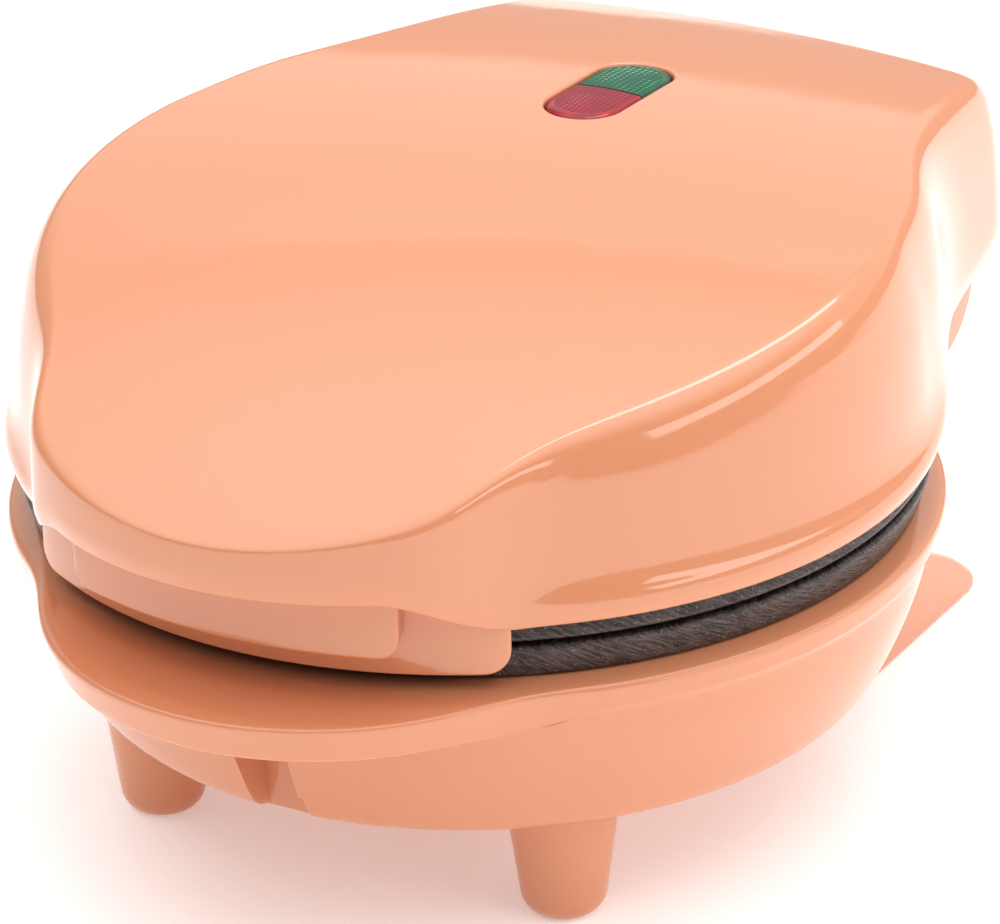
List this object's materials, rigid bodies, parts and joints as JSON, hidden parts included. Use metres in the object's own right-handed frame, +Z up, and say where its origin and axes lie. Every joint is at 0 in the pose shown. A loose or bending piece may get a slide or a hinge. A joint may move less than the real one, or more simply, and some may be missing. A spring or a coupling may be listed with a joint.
{
  "type": "mini waffle maker",
  "caption": "Round countertop waffle maker with a hinged lid, front handle lobe, two waffle plates, indicator lamps and a footed base.",
  "frame": {"origin": "centre of the bounding box on the table plane, under the feet", "axes": "+X to the right seen from the front, +Y from the handle towards the hinge, +Z up"},
  "size_m": [0.13, 0.1676, 0.0867],
  "materials": {
    "apricot_plastic": "smooth glossy apricot plastic",
    "coated_plate": "dark non-stick coating with a fine metallic grain",
    "sheet_steel": "thin bright steel sheet",
    "heater_steel": "heat-darkened steel tube",
    "zinc_steel": "zinc-plated steel",
    "bakelite": "brown heat-proof moulding",
    "glass_sleeve": "woven glass-fibre sleeve",
    "ivory_plastic": "ivory heat-proof plastic",
    "black_rubber": "black rubber",
    "red_clear": "clear red lens",
    "green_clear": "clear green lens",
    "lamp_glass": "clear lamp glass"
  },
  "bodies": {
    "base": {"base_shell": "apricot_plastic", "lower_plate": "coated_plate", "lower_plate_screw_1": "zinc_steel", "lower_plate_screw_2": "zinc_steel", "lower_plate_screw_3": "zinc_steel", "lower_plate_screw_4": "zinc_steel", "lower_heater": "heater_steel", "lower_reflector": "sheet_steel", "lower_reflector_screw": "zinc_steel", "thermostat": "bakelite", "thermostat_screw_1": "zinc_steel", "thermostat_screw_2": "zinc_steel", "thermal_fuse": "glass_sleeve", "fuse_clip": "sheet_steel", "fuse_clip_screw": "zinc_steel", "terminal_block": "ivory_plastic", "cord_gland": "black_rubber", "base_wire_sleeve": "glass_sleeve", "hinge_pin_left": "zinc_steel", "hinge_pin_right": "zinc_steel"},
    "lid": {"power_lens": "red_clear", "ready_lens": "green_clear", "lamp_holder": "ivory_plastic", "power_lamp": "lamp_glass", "ready_lamp": "lamp_glass", "lamp_holder_screw_1": "zinc_steel", "lamp_holder_screw_2": "zinc_steel", "lid_shell": "apricot_plastic", "upper_plate": "coated_plate", "upper_plate_screw_1": "zinc_steel", "upper_plate_screw_2": "zinc_steel", "upper_plate_screw_3": "zinc_steel", "upper_plate_screw_4": "zinc_steel", "upper_heater": "heater_steel", "upper_reflector": "sheet_steel", "upper_reflector_screw": "zinc_steel", "lid_wire_sleeve": "glass_sleeve", "hinge_cover": "apricot_plastic", "hinge_cover_screw_1": "zinc_steel", "hinge_cover_screw_2": "zinc_steel"}
  },
  "joints": [
    {"name": "lid_hinge", "type": "hinge", "parent": "base", "child": "lid", "pos_m": [0, 0.06003, 0.0533], "axis": [-1, 0, 0], "range_deg": [0, 95]}
  ]
}
